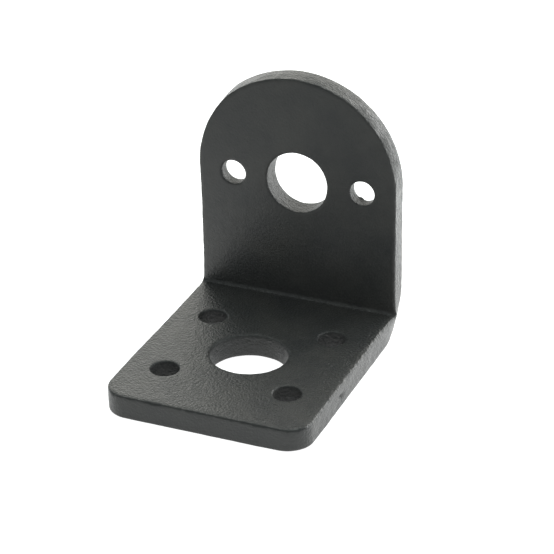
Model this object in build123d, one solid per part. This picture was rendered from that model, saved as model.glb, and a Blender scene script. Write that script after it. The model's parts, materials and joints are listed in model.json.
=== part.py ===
from build123d import *
import math
import os

# A motor mounting bracket: one piece of steel sheet, cut to an outline, drilled, folded once
# into an L and powder coated. A small geared motor lies over the base. Its nose goes through
# the upright, and two countersunk screws hold it from behind.
#
# The origin is on the ground under the middle of the bracket. X runs across it, the base
# reaches forward to -Y, the upright stands at the back, and Z is up. All sizes are in mm.
# The sheet's inner face is the one inside the L, and its outer face lies below and behind.

# The sheet and its fold
sheet_thickness = 3.0
bracket_width = 26.0
base_length = 33.0  # from the upright's outer face to the front edge
crown_centre_height = 19.9  # from the ground to the centre of the upright's round top
fold_inner_radius = 0.8
front_corner_radius = 3.0

# The outline's edges: the punch rolled the outer face's round and left the inner one's sharp
outer_edge_radius = 0.6
inner_edge_radius = 0.1

# The upright's holes, for a motor with a 7 mm nose and two countersunk M3 screws
nose_hole_diameter = 8.0
nose_hole_height = 19.1
motor_screw_hole_diameter = 3.2
motor_screw_spacing = 17.0
countersink_diameter = 6.2  # on the outer face
countersink_angle = 90.0

# The base's holes: an opening in the middle, and four for M3 screws round it
base_opening_diameter = 9.0
base_opening_setback = 14.5  # from the front edge to its centre
base_screw_hole_diameter = 3.5
base_screw_spacing_x = 16.0
base_screw_spacing_y = 14.0
base_screw_setback = 14.7  # from the front edge to the middle of the four

hole_chamfer = 0.15  # at both mouths of every hole

# Where the outer faces lie, and the line that the sheet is folded about
side_x = bracket_width / 2
back_y = base_length / 2
front_y = -base_length / 2
fold_outer_radius = fold_inner_radius + sheet_thickness
fold_y = back_y - fold_outer_radius
fold_z = fold_outer_radius

SMOOTH_ANGLE = 10  # degrees between two faces, below which one runs on into the other


def ease_holes(plate):
    """The plate with both mouths of every hole eased. Only the mouths are closed edges."""
    return chamfer(plate.edges().filter_by(lambda edge: edge.is_closed), hole_chamfer)


def make_base():
    """The flat of the base: round corners at the front, an opening and four screw holes."""
    length = fold_y - front_y
    outline = Pos(0, front_y + length / 2) * Rectangle(bracket_width, length)
    outline = fillet(outline.vertices().group_by(Axis.Y)[0], front_corner_radius)
    outline -= Pos(0, front_y + base_opening_setback) * Circle(base_opening_diameter / 2)
    screw_hole = Pos(0, front_y + base_screw_setback) * Circle(base_screw_hole_diameter / 2)
    for place in GridLocations(base_screw_spacing_x, base_screw_spacing_y, 2, 2):
        outline -= place * screw_hole
    return ease_holes(extrude(outline, sheet_thickness))


def make_upright():
    """The flat of the upright: straight sides, a half-round top and three holes in a row."""
    left_side = Line((-side_x, crown_centre_height), (-side_x, fold_z))
    foot = Line((-side_x, fold_z), (side_x, fold_z))
    right_side = Line((side_x, fold_z), (side_x, crown_centre_height))
    crown = CenterArc((0, crown_centre_height), side_x, 0, 180)
    outline = make_face([left_side, foot, right_side, crown])
    outline -= Pos(0, nose_hole_height) * Circle(nose_hole_diameter / 2)
    screw_hole = Pos(0, nose_hole_height) * Circle(motor_screw_hole_diameter / 2)
    for place in GridLocations(motor_screw_spacing, 0, 2, 1):
        outline -= place * screw_hole
    return ease_holes(extrude(Plane.XZ.offset(-back_y) * outline, sheet_thickness))


def make_countersinks():
    """What the two motor screws' heads take away from the upright's outer face."""
    slope = math.tan(math.radians(countersink_angle / 2))
    depth = (countersink_diameter - motor_screw_hole_diameter) / 2 / slope
    cone = Cone(motor_screw_hole_diameter / 2, countersink_diameter / 2, depth)
    middle = Plane((0, back_y - depth / 2, nose_hole_height), x_dir=(1, 0, 0), z_dir=(0, 1, 0))
    return [middle * place * cone for place in GridLocations(motor_screw_spacing, 0, 2, 1)]


def make_fold():
    """The fold: the sheet's section, turned a quarter round the fold line."""
    section = Pos(0, sheet_thickness / 2) * Rectangle(bracket_width, sheet_thickness)
    fold_line = Axis((0, fold_y, fold_z), (1, 0, 0))
    return revolve(Plane.XZ.offset(-fold_y) * section, fold_line, 90)


def outline_edges(body):
    """The sharp edges round the outline, where the sheet's faces meet its cut side."""
    def is_sharp(edge):
        beside = [face for face in body.faces() if edge in face.edges()]
        first, second = [face.normal_at(edge @ 0.5) for face in (beside[0], beside[-1])]
        return first.get_angle(second) > SMOOTH_ANGLE

    return body.edges().filter_by(lambda edge: not edge.is_closed and is_sharp(edge))


def is_outer(edge):
    """Whether an edge is nearer to the sheet's outer face than to its inner one."""
    behind = max((edge @ 0.5).Y - fold_y, 0)
    below = max(fold_z - (edge @ 0.5).Z, 0)
    return math.hypot(behind, below) > fold_inner_radius + sheet_thickness / 2


bracket = make_base() + make_fold() + make_upright()
bracket = fillet(outline_edges(bracket).filter_by(is_outer), outer_edge_radius)
bracket = fillet(outline_edges(bracket), inner_edge_radius)
bracket -= make_countersinks()

os.makedirs("parts", exist_ok=True)
export_step(bracket, "parts/motor_bracket.step")
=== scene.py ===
import json
import math
from collections import namedtuple

import bpy
import numpy as np
from mathutils import Matrix, Vector, noise
from mathutils.geometry import delaunay_2d_cdt


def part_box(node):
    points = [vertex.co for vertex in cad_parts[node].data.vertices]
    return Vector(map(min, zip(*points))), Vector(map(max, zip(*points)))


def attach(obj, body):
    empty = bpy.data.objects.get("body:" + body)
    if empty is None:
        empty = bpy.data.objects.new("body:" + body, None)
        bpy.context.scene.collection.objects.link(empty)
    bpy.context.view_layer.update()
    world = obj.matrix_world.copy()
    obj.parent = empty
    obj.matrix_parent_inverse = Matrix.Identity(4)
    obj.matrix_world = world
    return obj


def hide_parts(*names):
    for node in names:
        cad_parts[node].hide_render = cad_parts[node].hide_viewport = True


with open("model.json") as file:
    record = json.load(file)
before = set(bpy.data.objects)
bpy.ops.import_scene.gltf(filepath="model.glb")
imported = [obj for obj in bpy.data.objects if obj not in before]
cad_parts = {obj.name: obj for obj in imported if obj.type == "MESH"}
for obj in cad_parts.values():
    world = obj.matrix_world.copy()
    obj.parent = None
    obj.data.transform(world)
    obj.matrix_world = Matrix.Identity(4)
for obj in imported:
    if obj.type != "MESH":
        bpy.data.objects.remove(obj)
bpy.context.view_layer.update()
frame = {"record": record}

# The look of the motor mounting bracket: a folded sheet with a pebbled black powder coat.
#
# The sheet is meshed flat, as it was before its fold, and then folded. A point of the flat sheet
# is (u, v, d): u across it, v along it from the front edge, and d the depth below its inner face,
# which is the top of the base and the front of the upright. Lengths are in millimetres, and turn
# into metres where Blender takes them.

MM = 0.001

# A smooth random change: over features of what size, how large at most, and its own seed
Wave = namedtuple("Wave", "size height seed")
# A hole of the flat sheet: its middle, its radii, and how round its inner and outer rims are
Hole = namedtuple("Hole", "u v across along inner outer")

# Sizes that the frame gives
mounts = {mount["name"]: mount for mount in frame["record"]["mounts"]}
low, high = [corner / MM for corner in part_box("motor_bracket")]
half_width = high.x
thickness = high.y - mounts["motor_seat"]["pos_m"][1] / MM
crown_centre_z = high.z - half_width

# The outline and the fold
corner_radius = 3.0
fold_inner_radius = 0.45
swelling = (0.15, 0.3)  # the left and right sides stand out by this at the inside of the fold
narrowing = (0.3, 0.6)  # and draw in by this at the outside of it
swelling_reach = 2.2  # along the sheet from the fold's middle
swelling_depth = 2.6  # in from the side
left_bulges = [(9.0, 5.0, 0.09), (49.5, 4.0, 0.1)]  # where the left side stands out, by v, over
# what length and by how much

# How round the outline is at the inner face
base_inner_rounding = (0.1, 0.24)  # at the base's left side, and to the right of its turn
base_inner_turn = 1.0  # how wide the turn from the one to the other is
upright_inner_rounding = 0.12
inner_wave = Wave(0.7, 0.4, 1)  # it varies by this share of itself
nick_wave = Wave(0.45, 1, 41)
nick_threshold = 0.375  # it has nicks where their wave is over this
nick_size = 0.13  # and is this much rounder at them
left_calm = 0.2  # the left side has this share of these changes
left_turn = (-1, -0.5)  # from the left side to the rest, by how far the outline faces right

# And at the outer face
base_outer_rounding = 0.22
corner_outer_rounding = (0.34, 0.55)  # at the base's left and right front corners
corner_reach = 2.5
upright_outer_rounding = (0.35, 0.63)  # at the upright's left and right
upright_turn = (-8, 4)  # from the one to the other, by u
outer_wave = Wave(1.3, 0.07, 11)  # every outer rounding varies by this share of itself

# The crown
crown_taper = 0.13  # its inner face is smaller by this than its outer one
taper_depth = 1.6
taper_wave = Wave(2.5, 0.7, 51)  # how far that depth varies
taper_turn = (-9, -3)  # from no taper at the left to the full one, by u
taper_rise = 4.0  # and from none at the crown's foot to the full one, by v
crown_band = 6  # the power by which the crown's changes fade from its rim to its middle
crown_flare = (46, 18, 0.3)  # it stands out at this angle left of its top, over this spread, both
# in degrees, and by this much
flare_inner_share = 0.2  # the share of that which its inner face has

# Each mount's holes: how round the rims are at the inner and the outer face, none where a
# countersink takes its place, how much more than its radius they reach across and along, and
# how far each hole lies from its ideal place on the sheet
hole_rims = {
    "motor_nose_hole": (0.12, 0.25, (0, 0), [(0, -0.1)]),
    "motor_screws": (0.12, None, (0, 0), [(0, -0.07), (0.09, -0.07)]),
    "base_opening": (0.25, 0.3, (0.3, 0.07), [(-0.1, 0.14)]),
    "base_screws": (0.16, 0.3, (0, 0), [(-0.12, 0.08), (0.04, -0.06), (-0.22, 0.04), (-0.16, 0)]),
}
hole_wave = Wave(0.7, 0.2, 1)  # their inner rims vary by this share of themselves
countersink_depth = 1.4  # in from the outer face, at 45 degrees
countersink_lip = 0.07  # how far its edge spreads on that face
countersink_last_ring = 0.96  # near that edge, to keep it crisp, as a share of the depth

# Small marks: where on the sheet, how wide each way, and how far they move it
edge_chip = ((high.x, 11.7, 1.6), (0.3, 0.7, 0.33), (-0.4, 0.0))  # (u, v, d), in the right edge
hole_burr = ((7.98, 17.55, 1.6), (0.28, 0.28, 0.2), (0.08, 0.2))  # (u, z, d), in the upright

# The coat's relief: on all of it, on its cut edges as well, and inside the fold
coat_waves = [Wave(3.0, 0.010, 20), Wave(1.1, 0.005, 21), Wave(0.55, 0.002, 22)]
cut_wave = Wave(1.2, 0.02, 31)
crease_wave = Wave(0.9, 0.05, 71)
crease_reach = 1.2
upright_smoothness = 0.2  # the share of the coat's relief that the upright has
smooth_rise = 2.0  # how far above the fold that share is reached

# How the cut edges differ from the faces, where 1 is a cut edge's full roughness or dullness
calm_cut = 0.4  # how rough the base's bores and its front edge are
front_skin = 0.5  # how strong the pebbling on the front edge is
front_reach = 1.5  # how far round the corners the front edge goes, by v
patch_waves = [Wave(1.6, 1, 61), Wave(0.6, 0.5, 62)]  # the crown's edge is dull in patches
patch_level = 0.35  # how dull it is where their waves are level
patch_dullness = 1.8  # how dull the worst patches are
patch_depths = (0.6, 2.6)  # they are full down to the first depth, and end at the second
patch_rise = 4.0  # how far right of the middle they are full
patch_climb = 3.0  # how far above the crown's foot they are full

# The mesh
pitch = 0.21
clearance = 0.55  # how far a face's inner points keep from its rims, as a share of the pitch
least_arc_points = 12
inner_steps = 2
outer_steps = 5
wall_step = 0.28
triangulation = (1, 1e-6)  # delaunay_2d_cdt's output type, which is the triangles inside the
# edges, and its tolerance

# The smooth noise: how far apart two seeds read it, and what brings it to about 1 either way
seed_steps = (17.3, 5.1, 9.7)
noise_gain = 1.6

# The flat sheet
fold_radius = fold_inner_radius + thickness / 2
fold_length = fold_radius * math.pi / 2
fold_outer_radius = fold_inner_radius + thickness
fold_y = high.y - fold_outer_radius
fold_z = fold_outer_radius
base_end = fold_y - low.y
upright_start = base_end + fold_length
fold_middle = (base_end + upright_start) / 2
crown_v = upright_start + crown_centre_z - fold_z


def wander(points, wave, number=0):
    """A smooth random change at each point. Each number gives another change of its kind."""
    offset = Vector([(wave.seed + number) * step for step in seed_steps])
    flat = points.shape[1] == 2
    places = [Vector((*point, 0.0) if flat else point) / wave.size for point in points]
    values = np.array([noise.noise(place + offset) for place in places])
    return wave.height * np.clip(values * noise_gain, -1, 1)


def flat_holes():
    """Every hole of the flat sheet."""
    found = []
    for name, (inner, outer, more, drifts) in hole_rims.items():
        mount = mounts[name]
        x, y, z = [value / MM for value in mount["pos_m"]]
        dims = mount["dims"]
        radius = dims.get("r_mm") or dims["hole_r_mm"]
        in_upright = abs(mount["axis"][1]) > 0.5
        v = upright_start + z - fold_z if in_upright else y - low.y
        across = dims.get("spacing_x_mm", 0) / 2
        along = dims.get("spacing_y_mm", 0) / 2
        sides = (-1, 1) if across else (0,)
        ends = (-1, 1) if along else (0,)
        places = [(x + side * across, v + end * along) for side in sides for end in ends]
        for (u, v), (drift_u, drift_v) in zip(places, drifts):
            radii = (radius + more[0], radius + more[1])
            found.append(Hole(u + drift_u, v + drift_v, *radii, inner, outer))
    return found


holes = flat_holes()


def line_points(start, end, normal):
    """Points from start up to end, and the outward normal at each."""
    count = max(1, round(math.dist(start, end) / pitch))
    share = np.arange(count)[:, None] / count
    points = np.array(start) + share * (np.array(end) - np.array(start))
    return points, np.tile(np.array(normal, float), (count, 1))


def arc_points(centre, radius, start, end):
    """Points of an arc from start up to end, in degrees, and the outward normal at each."""
    sweep = math.radians(end - start)
    count = max(least_arc_points, round(radius * abs(sweep) / pitch))
    angles = math.radians(start) + sweep * np.arange(count) / count
    normals = np.column_stack([np.cos(angles), np.sin(angles)])
    return np.array(centre) + radius * normals, normals


def outline_loop():
    """The flat sheet's outline, with the sheet on its left."""
    inner_u = half_width - corner_radius
    stretches = [
        line_points((-inner_u, 0), (inner_u, 0), (0, -1)),
        arc_points((inner_u, corner_radius), corner_radius, -90, 0),
        line_points((half_width, corner_radius), (half_width, crown_v), (1, 0)),
        arc_points((0, crown_v), half_width, 0, 180),
        line_points((-half_width, crown_v), (-half_width, corner_radius), (-1, 0)),
        arc_points((-inner_u, corner_radius), corner_radius, 180, 270),
    ]
    return [np.vstack(column) for column in zip(*stretches)]


def hole_loop(hole):
    """A hole's rim, with the sheet on its left. The normals point into the hole."""
    middle, radii = (hole.u, hole.v), (hole.across, hole.along)
    _, ways = arc_points(middle, hole.across, 360, 0)
    normals = ways / radii
    return middle + ways * radii, -normals / np.linalg.norm(normals, axis=1)[:, None]


def inner_rounding(points):
    """How round the outline is at the inner face, at each point."""
    u, v = points.T
    base = np.interp(u, (-half_width, -half_width + base_inner_turn), base_inner_rounding)
    return base + (upright_inner_rounding - base) * np.clip((v - base_end) / fold_length, 0, 1)


def outer_rounding(points):
    """How round the outline is at the outer face, at each point."""
    u, v = points.T
    to_corner = np.hypot(half_width - np.abs(u), v)
    corner = np.where(u < 0, *corner_outer_rounding) - base_outer_rounding
    base = base_outer_rounding + corner * np.exp(-((to_corner / corner_reach) ** 2))
    upright = np.interp(u, upright_turn, upright_outer_rounding)
    return base + (upright - base) * np.clip((v - base_end) / fold_length, 0, 1)


def rim_rings(points, normals, inner, outer):
    """The rings of a cut edge from the inner face down its wall to the outer face, as (u, v, d).

    It has a countersink there if outer, its outer rounding, is None.
    """
    ones = np.ones(len(points))
    turn = np.linspace(0, math.pi / 2, inner_steps + 1)
    profile = [(inner * (1 - math.sin(angle)), inner * (1 - math.cos(angle))) for angle in turn]
    wall_end = thickness - (countersink_depth * ones if outer is None else outer)
    steps = math.ceil(wall_end.mean() / wall_step)
    profile += [(0 * ones, inner + (wall_end - inner) * step / steps) for step in range(1, steps)]
    if outer is None:
        steps = math.ceil(countersink_depth * math.sqrt(2) / wall_step)
        for share in [*np.arange(steps) / steps, countersink_last_ring]:
            profile.append((countersink_depth * share * ones, wall_end + countersink_depth * share))
        profile.append((countersink_depth * ones + countersink_lip, thickness * ones))
    else:
        turn = np.linspace(math.pi / 2, 0, outer_steps + 1)
        profile += [(outer * (1 - math.sin(a)), thickness - outer * (1 - math.cos(a))) for a in turn]
    return [np.column_stack([points - normals * inset[:, None], depth]) for inset, depth in profile]


def cut_edges():
    """The rings of the outline's edge, and then of each hole's."""
    points, normals = outline_loop()
    calm = np.interp(normals[:, 0], left_turn, (left_calm, 1))
    nicks = nick_size * np.interp(wander(points, nick_wave), (nick_threshold, 1), (0, 1))
    inner = (inner_rounding(points) + calm * nicks) * (1 + calm * wander(points, inner_wave))
    outer = outer_rounding(points) * (1 + wander(points, outer_wave))
    edges = [rim_rings(points, normals, inner, outer)]
    for number, hole in enumerate(holes, 1):
        points, normals = hole_loop(hole)
        inner = hole.inner * (1 + wander(points, hole_wave, number))
        outer = hole.outer
        if outer is not None:
            outer = outer * (1 + wander(points, outer_wave, number))
        edges.append(rim_rings(points, normals, inner, outer))
    return edges


def room(points, outline_inset, hole_insets):
    """How far each point lies inside the outline and outside every hole, less their insets."""
    u, v = points.T
    side = np.minimum(half_width - np.abs(u), v)
    corner_u = np.abs(u) - (half_width - corner_radius)
    corner_v = corner_radius - v
    in_corner = (corner_u > 0) & (corner_v > 0)
    side = np.where(in_corner, corner_radius - np.hypot(corner_u, corner_v), side)
    side = np.where(v > crown_v, half_width - np.hypot(u, v - crown_v), side)
    side = side - outline_inset(points)
    for hole, inset in zip(holes, hole_insets):
        side = np.minimum(side, np.hypot(u - hole.u, v - hole.v) - hole.across - inset)
    return side


def lattice(outline_inset, hole_insets):
    """Points of a triangular lattice in the sheet, clear of the rims of one of its faces."""
    row_step = pitch * math.sqrt(3) / 2
    rows = np.arange(0, crown_v + half_width, row_step)
    columns = np.arange(-half_width, half_width + pitch, pitch)
    points = np.array([(u + (row % 2) * pitch / 2, v) for row, v in enumerate(rows) for u in columns])
    return points[room(points, outline_inset, hole_insets) > clearance * pitch]


def face_mesh(rims, outline_inset, hole_insets):
    """One face of the sheet: its points, which begin with the rims', and its triangles."""
    edges = []
    start = 0
    for rim in rims:
        step = np.arange(len(rim))
        edges += np.column_stack([start + step, start + (step + 1) % len(rim)]).tolist()
        start += len(rim)
    field = lattice(outline_inset, hole_insets)
    points = np.vstack([*rims, field])
    loop_of = np.repeat(np.arange(len(rims) + 1), [len(part) for part in (*rims, field)])
    _, _, triangles, _, _, _ = delaunay_2d_cdt([Vector(p) for p in points], edges, [], *triangulation)
    triangles = np.array(triangles)

    # Holes are filled as well. A triangle in one has its corners on one rim, in falling order.
    a, b, c = triangles.T
    in_one_loop = (loop_of[a] == loop_of[b]) & (loop_of[b] == loop_of[c]) & (loop_of[a] < len(rims))
    rising = (a < b).astype(int) + (b < c) + (c < a)
    return points, triangles[~in_one_loop | (rising == 2)]


def sheet_faces(edges):
    """The meshes of the sheet's inner and outer face, inside the edges' first and last rings."""
    most_inner, most_outer = 1 + inner_wave.height, 1 + outer_wave.height
    countersink = countersink_depth + countersink_lip
    inner_face = face_mesh(
        [rings[0][:, :2] for rings in edges],
        lambda points: (inner_rounding(points) + nick_size) * most_inner,
        [hole.inner * (1 + hole_wave.height) for hole in holes],
    )
    outer_face = face_mesh(
        [rings[-1][:, :2] for rings in edges],
        lambda points: outer_rounding(points) * most_outer,
        [hole.outer * most_outer if hole.outer else countersink for hole in holes],
    )
    return inner_face, outer_face


def sheet_mesh():
    """The flat sheet as one closed mesh: its two faces, and a wall round each cut.

    It gives the points, the triangles, and the number of the cut whose wall each point lies in,
    which is 0 for the outline and -1 for the points of the two faces.
    """
    edges = cut_edges()
    (inner_points, inner_triangles), (outer_points, outer_triangles) = sheet_faces(edges)
    inner_count, outer_count = len(inner_points), len(outer_points)
    flat = [np.column_stack([inner_points, np.zeros(inner_count)])]
    flat.append(np.column_stack([outer_points, np.full(outer_count, thickness)]))
    total = inner_count + outer_count
    cut_of = [np.full(total, -1)]
    triangles = [inner_triangles, outer_triangles[:, ::-1] + inner_count]
    start = 0
    for number, rings in enumerate(edges):
        wall = rings[1:-1]
        length = len(rings[0])
        ring_starts = [start, *(total + length * np.arange(len(wall))), inner_count + start]
        flat += wall
        cut_of.append(np.full(length * len(wall), number))
        total += length * len(wall)
        start += length
        step = np.arange(length)
        following = (step + 1) % length
        for upper, lower in zip(ring_starts, ring_starts[1:]):
            a, b, c, d = upper + step, upper + following, lower + following, lower + step
            triangles += [np.column_stack([a, d, c]), np.column_stack([a, c, b])]
    return np.vstack(flat), np.vstack(triangles), np.concatenate(cut_of)


def mark(flat):
    """The points of the flat sheet, with the chip and the burr."""
    u, z, d = hole_burr[0]
    marks = [edge_chip, ((u, upright_start + z - fold_z, d), *hole_burr[1:])]
    for centre, size, shift in marks:
        fade = np.exp(-(((flat - centre) / size) ** 2).sum(axis=1))
        flat = flat + fade[:, None] * (*shift, 0)
    return flat


def shape_crown(flat):
    """The points of the flat sheet, with the crown's taper and its flare."""
    u, v, d = flat.T
    up = np.maximum(v - crown_v, 0)
    distance = np.hypot(u, up)
    at_rim = np.clip(distance / half_width, 0, 1) ** crown_band
    depth = taper_depth + wander(flat[:, :2], taper_wave)
    taper = np.clip(1 - d / depth, 0, 1) * np.clip(up / taper_rise, 0, 1)
    taper *= crown_taper * np.interp(u, taper_turn, (0, 1))
    angle, spread, flare = crown_flare
    off_angle = (np.degrees(np.arctan2(-u, up)) - angle) / spread
    flare = flare * (flare_inner_share + (1 - flare_inner_share) * d / thickness)
    flare = flare * np.exp(-(off_angle**2)) * (up > 0)
    drawn = 1 - at_rim * (taper - flare) / np.maximum(distance, 1)
    return np.column_stack([u * drawn, v - up * (1 - drawn), d])


def fold(flat):
    """Where the points of the flat sheet lie once it is folded."""
    u, v, d = flat.T
    angle = np.clip((v - base_end) / fold_length, 0, 1) * math.pi / 2
    radius = fold_inner_radius + d
    along = np.minimum(v, base_end) - base_end
    up = np.maximum(v, upright_start) - upright_start
    at_side = np.exp(-(((half_width - np.abs(u)) / swelling_depth) ** 2))
    fade = at_side * np.exp(-(((v - fold_middle) / swelling_reach) ** 2))
    out = np.where(u < 0, *swelling)
    back_in = np.where(u < 0, *narrowing)
    x = u + np.sign(u) * fade * (out - (out + back_in) * d / thickness)
    for centre, length, bulge in left_bulges:
        x = x - np.where(u < 0, bulge, 0) * at_side * np.exp(-(((v - centre) / length) ** 2))
    y = fold_y + radius * np.sin(angle) + along
    z = fold_z - radius * np.cos(angle) + up
    return np.column_stack([x, y, z])


def pebbling(flat):
    """How strong the coat's relief is at each point: full on the base, and less up the upright."""
    smooth_start = upright_start + smooth_rise
    return np.interp(flat[:, 1], (base_end, smooth_start), (1, upright_smoothness))


def coat_marks(flat, cut_of):
    """How rough a cut, how dull a coat and how pebbled a skin there is at each point."""
    u, v, d = flat.T
    in_wall = cut_of >= 0
    front = in_wall & (v < front_reach)
    base_bores = (cut_of > 0) & (v < base_end)
    cut = in_wall.astype(float)
    cut[front | base_bores] = calm_cut
    skin = np.where(in_wall, 1, pebbling(flat))
    skin[front] = front_skin

    dull = in_wall.astype(float)
    edge = cut_of == 0
    patches = sum(wander(flat[edge], wave) for wave in patch_waves) + patch_level
    dull[edge] = patch_dullness * np.clip(patches, 0, 1) * np.interp(d[edge], patch_depths, (1, 0))
    dull[edge] *= np.clip((v[edge] - crown_v) / patch_climb, 0, 1)
    dull[edge] *= np.clip(u[edge] / patch_rise, 0, 1)
    return {"cut": cut, "dull": dull, "skin": skin}


def coat_relief(points, flat, cut):
    """How far the coat stands out at each point."""
    relief = pebbling(flat) * sum(wander(points, wave) for wave in coat_waves)
    relief += cut * wander(points, cut_wave)
    in_crease = np.exp(-(((flat[:, 1] - fold_middle) / crease_reach) ** 2)) * (flat[:, 2] == 0)
    return relief + in_crease * wander(points, crease_wave)


def vertex_normals(points, triangles):
    """The outward normal at each point."""
    first, second, third = [points[triangles[:, corner]] for corner in range(3)]
    facing = np.cross(second - first, third - first)
    normals = np.zeros_like(points)
    for corner in range(3):
        np.add.at(normals, triangles[:, corner], facing)
    return normals / np.linalg.norm(normals, axis=1)[:, None]


def make_bracket():
    """The bracket's piece, in place of its CAD node."""
    flat, triangles, cut_of = sheet_mesh()
    marks = coat_marks(flat, cut_of)
    points = fold(shape_crown(mark(flat)))
    relief = coat_relief(points, flat, marks["cut"])
    points = points + vertex_normals(points, triangles) * relief[:, None]

    mesh = bpy.data.meshes.new("coated_bracket")
    mesh.from_pydata((points * MM).tolist(), [], triangles.tolist())
    for name, values in marks.items():
        mesh.attributes.new(name, "FLOAT", "POINT").data.foreach_set("value", values)
    place = mesh.attributes.new("flat_place", "FLOAT_VECTOR", "POINT")
    place.data.foreach_set("vector", flat.ravel())
    mesh.polygons.foreach_set("use_smooth", [True] * len(mesh.polygons))
    mesh.validate()
    piece = bpy.data.objects.new("coated_bracket", mesh)
    bpy.context.scene.collection.objects.link(piece)
    piece.data.materials.append(powder_coat())
    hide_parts("motor_bracket")
    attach(piece, "root")


def add_node(tree, kind, inputs, **settings):
    """A new node. An input is linked where its value is another node's output, and set otherwise."""
    node = tree.nodes.new(kind)
    for name, value in settings.items():
        setattr(node, name, value)
    for name, value in inputs.items():
        if isinstance(value, bpy.types.NodeSocket):
            tree.links.new(value, node.inputs[name])
        else:
            node.inputs[name].default_value = value
    return node


def math_value(tree, operation, *values):
    """What an operation makes of its values."""
    inputs = dict(enumerate(values))
    return add_node(tree, "ShaderNodeMath", inputs, operation=operation).outputs["Value"]


def ranged(tree, value, start, end, low_value, high_value, kind="LINEAR"):
    """What goes from its low to its high value as another value goes from start to end."""
    inputs = {"Value": value, "From Min": start, "From Max": end}
    inputs |= {"To Min": low_value, "To Max": high_value}
    return add_node(tree, "ShaderNodeMapRange", inputs, interpolation_type=kind).outputs["Result"]


def mixed(tree, share, first, second):
    """The first value where the share is 0, and the second where it is 1."""
    inputs = {"Factor": share, "A": first, "B": second}
    return add_node(tree, "ShaderNodeMix", inputs).outputs["Result"]


def mixed_colour(tree, share, first, second):
    """The first colour where the share is 0, and the second where it is 1."""
    inputs = {"Factor": share, "A": (*first, 1), "B": (*second, 1)}
    return add_node(tree, "ShaderNodeMix", inputs, data_type="RGBA").outputs["Result"]


# The coat's colour and roughness, each between two values over noise of a size
coat_colours = ((0.020, 0.021, 0.021), (0.031, 0.031, 0.029))
colour_size = 4.0
coat_roughness = (0.37, 0.45)
roughness_size = 0.8
dull_roughness = 0.14  # how much rougher it is where it is dull
noise_span = (0.3, 0.7)  # where most of the noise's values lie

# Its fine relief: the size of its features and its height
pebbles = (0.3, 0.06)
pebble_softness = 0.5
grain = (0.22, 0.09)
shear_marks = ((1.1, 1.1, 0.3), 0.1)  # by u, v and d, so they run along the cut edges


def powder_coat():
    """Black powder coat: half matt, with a pebbled skin, and shear marks on the cut edges."""
    material = bpy.data.materials.new("powder_coat")
    material.use_nodes = True
    tree = material.node_tree
    shader = tree.nodes["Principled BSDF"]
    shader.inputs["IOR"].default_value = 1.47
    shader.inputs["Metallic"].default_value = 0.0
    place = add_node(tree, "ShaderNodeTexCoord", {}).outputs["Object"]

    def attribute(name):
        return add_node(tree, "ShaderNodeAttribute", {}, attribute_name=name)

    def noise_value(vector, scale, detail):
        inputs = {"Vector": vector, "Scale": scale, "Detail": detail}
        return add_node(tree, "ShaderNodeTexNoise", inputs).outputs["Fac"]

    def bump(height, distance, strength, more_inputs, **settings):
        inputs = {"Height": height, "Distance": distance * MM, "Strength": strength}
        return add_node(tree, "ShaderNodeBump", inputs | more_inputs, **settings).outputs["Normal"]

    cut, dull, skin = [attribute(name).outputs["Fac"] for name in ("cut", "dull", "skin")]
    share = ranged(tree, noise_value(place, 1 / (colour_size * MM), 3), *noise_span, 0, 1)
    tree.links.new(mixed_colour(tree, share, *coat_colours), shader.inputs["Base Color"])
    patches = noise_value(place, 1 / (roughness_size * MM), 2)
    roughness = ranged(tree, patches, *noise_span, *coat_roughness)
    roughness = math_value(tree, "MULTIPLY_ADD", dull, dull_roughness, roughness)
    tree.links.new(roughness, shader.inputs["Roughness"])

    size, height = pebbles
    inputs = {"Vector": place, "Scale": 1 / (size * MM), "Smoothness": pebble_softness}
    cells = add_node(tree, "ShaderNodeTexVoronoi", inputs, feature="SMOOTH_F1")
    normal = bump(cells.outputs["Distance"], height, skin, {}, invert=True)
    size, height = grain
    normal = bump(noise_value(place, 1 / (size * MM), 2), height, skin, {"Normal": normal})
    sizes, height = shear_marks
    inputs = {0: attribute("flat_place").outputs["Vector"], 1: [1 / size for size in sizes]}
    stretched = add_node(tree, "ShaderNodeVectorMath", inputs, operation="MULTIPLY")
    marks = noise_value(stretched.outputs["Vector"], 1.0, 3)
    normal = bump(marks, height, cut, {"Normal": normal})
    tree.links.new(normal, shader.inputs["Normal"])
    return material


# The camera: its direction from what it looks at and its roll, in degrees, and where it stands
view_azimuth = 23.283
view_elevation = 28.111
view_roll = 1.009
view_lens = 152.043
view_place = (100.127, -225.788, 144.526)


def make_camera():
    """The camera, with a long lens, a little above the bracket and to its right."""
    azimuth, elevation, roll = [math.radians(a) for a in (view_azimuth, view_elevation, view_roll)]
    back = Vector((
        math.sin(azimuth) * math.cos(elevation),
        -math.cos(azimuth) * math.cos(elevation),
        math.sin(elevation),
    ))
    right = Vector((math.cos(azimuth), math.sin(azimuth), 0))
    up = back.cross(right)
    turned_right = math.cos(roll) * right - math.sin(roll) * up
    turned_up = math.sin(roll) * right + math.cos(roll) * up
    camera = bpy.data.objects.new("camera", bpy.data.cameras.new("camera"))
    camera.data.lens = view_lens
    camera.data.sensor_width = 36
    camera.data.clip_start = 0.01
    camera.data.clip_end = 10
    place = Vector(view_place) * MM
    turn = Matrix((turned_right, turned_up, back)).transposed().to_4x4()
    camera.matrix_world = Matrix.Translation(place) @ turn
    bpy.context.scene.collection.objects.link(camera)
    bpy.context.scene.camera = camera


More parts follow.
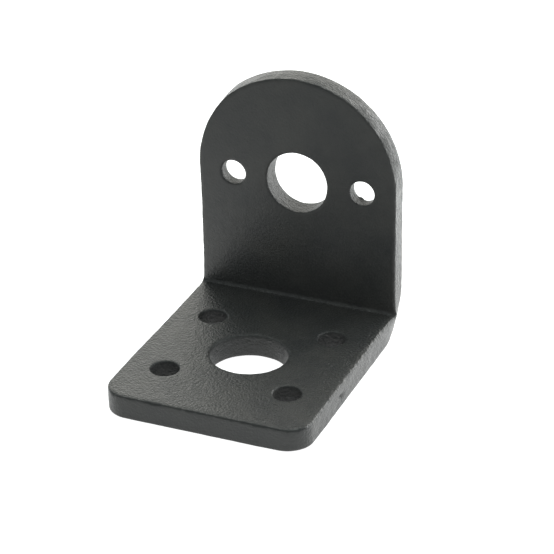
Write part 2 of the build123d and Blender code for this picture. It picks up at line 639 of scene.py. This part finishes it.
def soft_box(name, direction, distance, size, brightness, colour=(1, 1, 1)):
    """A square soft box that shines at the bracket, in metres. A brightness of 1 is white."""
    lamp = bpy.data.objects.new(name, bpy.data.lights.new(name, "AREA"))
    lamp.data.shape = "SQUARE"
    lamp.data.size = size
    lamp.data.energy = brightness * math.pi * size**2
    lamp.data.color = colour
    way = Vector(direction).normalized()
    turn = way.to_track_quat("Z", "Y").to_matrix().to_4x4()
    lamp.matrix_world = Matrix.Translation(way * distance) @ turn
    bpy.context.scene.collection.objects.link(lamp)


def make_lamps():
    """Soft boxes behind and over the bracket, and a spot on the floor behind it, to its right."""
    # Each soft box's direction from the bracket, distance, size, brightness and colour
    soft_box("back_box", (-0.12, 0.85, 0.42), 0.5, 0.65, 1.6, (1, 0.955, 0.87))
    soft_box("key_box", (0.75, 0.55, 0.5), 0.45, 0.3, 2.4, (0.96, 1, 0.99))
    soft_box("top_box", (0.05, 0.1, 1), 0.5, 0.4, 1.8, (0.9, 1, 0.97))
    soft_box("right_box", (0.5, 0.8, 0.15), 0.45, 0.4, 3.3)
    spot = bpy.data.objects.new("floor_spot", bpy.data.lights.new("floor_spot", "SPOT"))
    spot.data.energy = 7.2
    spot.data.color = (0.95, 1, 0.98)
    spot.data.spot_size = math.radians(22)
    spot.data.spot_blend = 0.6
    spot.data.shadow_soft_size = 0.005
    spot.location = Vector((45, 75, 300)) * MM
    bpy.context.scene.collection.objects.link(spot)


def backdrop_rays(tree, rays):
    """1 for the rays that see the backdrop, straight or through glass, and 0 for the others."""
    seen = (rays.outputs["Is Camera Ray"], rays.outputs["Is Transmission Ray"])
    return math_value(tree, "MAXIMUM", *seen)


# The room: how bright it is for light that the bracket scatters. What the bracket mirrors of it
# has a brightness of 1, and less towards the ceiling, by z, and towards the front, by y, where z
# and y are those of the direction in which it is mirrored.
room_brightness = 0.68
room_tint = (0.935, 1.0, 1.0)
ceiling_turn = (0.5, 0.85)
ceiling_brightness = 0.25
front_turn = (-0.5, 0.2)
front_brightness = 0.3


def make_world():
    """A pale world, which the camera sees as white."""
    world = bpy.data.worlds.new("studio")
    world.use_nodes = True
    bpy.context.scene.world = world
    tree = world.node_tree
    background = tree.nodes["Background"]
    rays = add_node(tree, "ShaderNodeLightPath", {})
    way = add_node(tree, "ShaderNodeTexCoord", {}).outputs["Generated"]
    parts = add_node(tree, "ShaderNodeSeparateXYZ", {"Vector": way}).outputs
    up = ranged(tree, parts["Z"], *ceiling_turn, 1, ceiling_brightness, "SMOOTHSTEP")
    front = ranged(tree, parts["Y"], *front_turn, front_brightness, 1, "SMOOTHSTEP")
    mirrored = math_value(tree, "MULTIPLY", up, front)
    brightness = mixed(tree, rays.outputs["Is Glossy Ray"], room_brightness, mirrored)
    seen = backdrop_rays(tree, rays)
    tree.links.new(mixed(tree, seen, brightness, 1), background.inputs["Strength"])
    tree.links.new(mixed_colour(tree, seen, room_tint, (1, 1, 1)), background.inputs["Color"])


# The floor: how much of the light it scatters, how much it glows for the camera, so that it is
# white there, and how much in what the bracket mirrors, from dim in front to bright behind
floor_reach = 2.0
floor_drop = 0.02  # mm, so that it and the base's underside don't fill the same place
floor_colour = 0.55
seen_glow = 0.9
mirrored_turn = (-60, 20)  # mm, by y
mirrored_glow = (0.1, 1.65)


def make_floor():
    """A plain white floor, which keeps the bracket's shadow."""
    mesh = bpy.data.meshes.new("floor")
    sides = (-floor_reach, floor_reach)
    corners = [(x, y, 0) for y in sides for x in (sides if y < 0 else sides[::-1])]
    mesh.from_pydata(corners, [], [(0, 1, 2, 3)])
    floor = bpy.data.objects.new("floor", mesh)
    floor.location.z = -floor_drop * MM
    bpy.context.scene.collection.objects.link(floor)
    material = bpy.data.materials.new("floor_paper")
    material.use_nodes = True
    tree = material.node_tree
    shader = tree.nodes["Principled BSDF"]
    shader.inputs["Base Color"].default_value = (floor_colour, floor_colour, floor_colour, 1)
    shader.inputs["Roughness"].default_value = 0.9
    shader.inputs["Specular IOR Level"].default_value = 0.0
    shader.inputs["Emission Color"].default_value = (1, 1, 1, 1)
    rays = add_node(tree, "ShaderNodeLightPath", {})
    place = add_node(tree, "ShaderNodeTexCoord", {}).outputs["Object"]
    y = add_node(tree, "ShaderNodeSeparateXYZ", {"Vector": place}).outputs["Y"]
    turn = [end * MM for end in mirrored_turn]
    mirrored = ranged(tree, y, *turn, *mirrored_glow, "SMOOTHSTEP")
    mirrored = math_value(tree, "MULTIPLY", mirrored, rays.outputs["Is Glossy Ray"])
    glow = math_value(tree, "MULTIPLY_ADD", backdrop_rays(tree, rays), seen_glow, mirrored)
    tree.links.new(glow, shader.inputs["Emission Strength"])
    mesh.materials.append(material)


bpy.context.scene.view_settings.view_transform = "Standard"
make_camera()
make_lamps()
make_world()
make_floor()
make_bracket()
